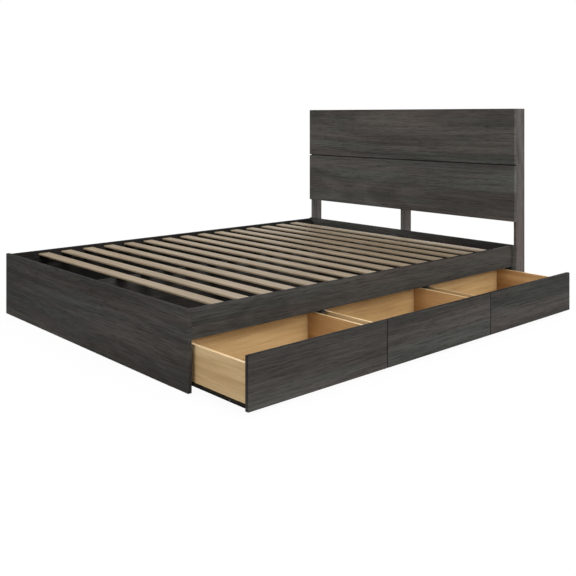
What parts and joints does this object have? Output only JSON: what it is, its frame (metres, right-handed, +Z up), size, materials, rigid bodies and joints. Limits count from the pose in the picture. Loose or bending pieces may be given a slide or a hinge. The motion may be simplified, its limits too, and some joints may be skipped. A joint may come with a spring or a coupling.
{
  "type": "platform bed with storage drawers",
  "caption": "Full-size platform bed in dark wood-grain laminate: panelled headboard on posts, slatted deck, and handle-less storage drawers on roller slides along one side.",
  "frame": {"origin": "on the floor under the middle of the base, at the centre panel's foot", "axes": "+X towards the drawer side, +Y towards the headboard, +Z up"},
  "size_m": [1.737, 2.0203, 0.943],
  "materials": {
    "laminate": "satin charcoal-brown wood-grain laminate with horizontal grain",
    "post_laminate": "satin charcoal-brown wood-grain laminate with vertical grain",
    "slat_wood": "smooth pale laminated hardwood",
    "birch": "satin light birch foil on panel",
    "slide_steel": "black powder coat"
  },
  "bodies": {
    "frame": {"footboard": "laminate", "head_panel": "laminate", "side_panel": "laminate", "side_rail": "laminate", "centre_panel": "laminate", "divider_1": "laminate", "divider_2": "laminate", "headboard_lower_panel": "laminate", "headboard_upper_panel": "laminate", "headboard_cleat_left": "laminate", "headboard_cleat_right": "laminate", "slat_ledge_left": "laminate", "slat_ledge_right": "laminate", "headboard_post_left": "post_laminate", "headboard_post_centre": "post_laminate", "headboard_post_right": "post_laminate", "slat_01": "slat_wood", "slat_02": "slat_wood", "slat_03": "slat_wood", "slat_04": "slat_wood", "slat_05": "slat_wood", "slat_06": "slat_wood", "slat_07": "slat_wood", "slat_08": "slat_wood", "slat_09": "slat_wood", "slat_10": "slat_wood", "slat_11": "slat_wood", "slat_12": "slat_wood", "slat_13": "slat_wood", "slat_14": "slat_wood", "slat_15": "slat_wood", "slide_channel_1_foot": "slide_steel", "slide_channel_1_head": "slide_steel", "slide_channel_2_foot": "slide_steel", "slide_channel_2_head": "slide_steel", "slide_channel_3_foot": "slide_steel", "slide_channel_3_head": "slide_steel"},
    "drawer_1": {"drawer_1_front": "laminate", "drawer_1_side_foot": "birch", "drawer_1_side_head": "birch", "drawer_1_back": "birch", "drawer_1_floor": "birch", "drawer_1_runner_foot": "slide_steel", "drawer_1_runner_head": "slide_steel"},
    "drawer_2": {"drawer_2_front": "laminate", "drawer_2_side_foot": "birch", "drawer_2_side_head": "birch", "drawer_2_back": "birch", "drawer_2_floor": "birch", "drawer_2_runner_foot": "slide_steel", "drawer_2_runner_head": "slide_steel"},
    "drawer_3": {"drawer_3_front": "laminate", "drawer_3_side_foot": "birch", "drawer_3_side_head": "birch", "drawer_3_back": "birch", "drawer_3_floor": "birch", "drawer_3_runner_foot": "slide_steel", "drawer_3_runner_head": "slide_steel"}
  },
  "joints": [
    {"name": "drawer_1_slide", "type": "slide", "parent": "frame", "child": "drawer_1", "axis": [1, 0, 0], "range_m": [-0.289, 0]},
    {"name": "drawer_2_slide", "type": "slide", "parent": "frame", "child": "drawer_2", "axis": [1, 0, 0], "range_m": [-0.289, 0]},
    {"name": "drawer_3_slide", "type": "slide", "parent": "frame", "child": "drawer_3", "axis": [1, 0, 0], "range_m": [-0.289, 0]}
  ]
}
